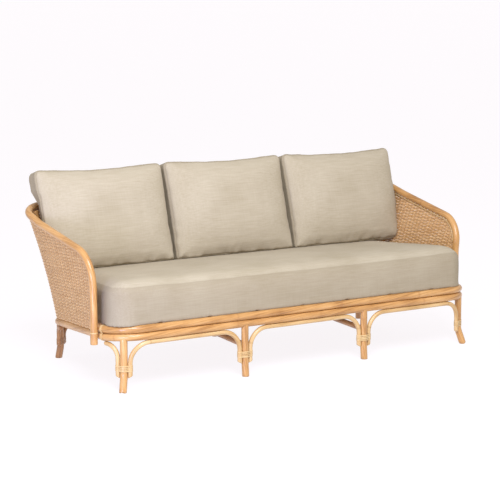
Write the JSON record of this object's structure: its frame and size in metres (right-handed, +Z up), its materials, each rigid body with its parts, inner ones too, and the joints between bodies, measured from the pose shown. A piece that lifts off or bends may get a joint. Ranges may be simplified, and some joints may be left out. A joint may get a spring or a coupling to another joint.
{
  "type": "rattan garden sofa",
  "caption": "Rattan sofa: a continuous bent top rail, woven side and back walls, arched braces bound to kicked-out legs, a long seat cushion and loose back cushions.",
  "frame": {"origin": "on the floor, under the middle of the overall box", "axes": "+X to the sitter's left along the length, +Y to the back, +Z up"},
  "size_m": [1.9014, 0.7978, 0.8198],
  "materials": {
    "cane": "peeled rattan pole, clear satin lacquer",
    "pale_cane": "pale peeled rattan pole, satin lacquer",
    "peel": "flat rattan peel, glossy skin side out",
    "weave": "round rattan core woven over stakes, satin",
    "linen": "plain woven linen-like cloth, matt"
  },
  "bodies": {
    "frame": {"seat_rail_front": "cane", "seat_rail_rear": "cane", "front_rail_upper": "cane", "top_rail": "cane", "leg_front_corner_left": "cane", "leg_front_middle_left": "cane", "leg_front_middle_right": "cane", "leg_front_corner_right": "cane", "leg_rear_left": "cane", "leg_rear_middle": "cane", "leg_rear_right": "cane", "arch_front_right": "pale_cane", "arch_front_middle": "pale_cane", "arch_front_left": "pale_cane", "arch_corner_right": "pale_cane", "arch_corner_left": "pale_cane", "bracket_rear_right": "pale_cane", "bracket_rear_left": "pale_cane", "arch_rear_right": "pale_cane", "arch_rear_left": "pale_cane", "binding_front_corner_left": "peel", "binding_front_middle_left": "peel", "binding_front_middle_right": "peel", "binding_front_corner_right": "peel", "binding_rear_left": "peel", "binding_rear_middle": "peel", "binding_rear_right": "peel", "rail_tie_right": "peel", "rail_tie_left": "peel", "stretcher_left": "cane", "stretcher_right": "cane", "bearer_front": "cane", "bearer_rear": "cane", "deck_pole_1": "cane", "deck_pole_2": "cane", "deck_pole_3": "cane", "deck_pole_4": "cane", "deck_pole_5": "cane", "deck_pole_6": "cane", "deck_pole_7": "cane", "woven_side_right": "weave", "woven_back": "weave", "woven_side_left": "weave", "reed_trim": "peel", "upright_back_right": "cane", "upright_back_left": "cane", "upright_corner_right": "cane", "upright_corner_left": "cane"},
    "seat_cushion_body": {"seat_cushion": "linen"},
    "back_cushion_left_body": {"back_cushion_left": "linen"},
    "back_cushion_middle_body": {"back_cushion_middle": "linen"},
    "back_cushion_right_body": {"back_cushion_right": "linen"}
  },
  "joints": [
    {"name": "seat_cushion_lift", "type": "slide", "parent": "frame", "child": "seat_cushion_body", "axis": [0, 0, 1], "range_m": [0, 0.45]},
    {"name": "back_cushion_left_lift", "type": "slide", "parent": "seat_cushion_body", "child": "back_cushion_left_body", "axis": [0, 0, 1], "range_m": [0, 0.3]},
    {"name": "back_cushion_middle_lift", "type": "slide", "parent": "seat_cushion_body", "child": "back_cushion_middle_body", "axis": [0, 0, 1], "range_m": [0, 0.3]},
    {"name": "back_cushion_right_lift", "type": "slide", "parent": "seat_cushion_body", "child": "back_cushion_right_body", "axis": [0, 0, 1], "range_m": [0, 0.3]}
  ]
}
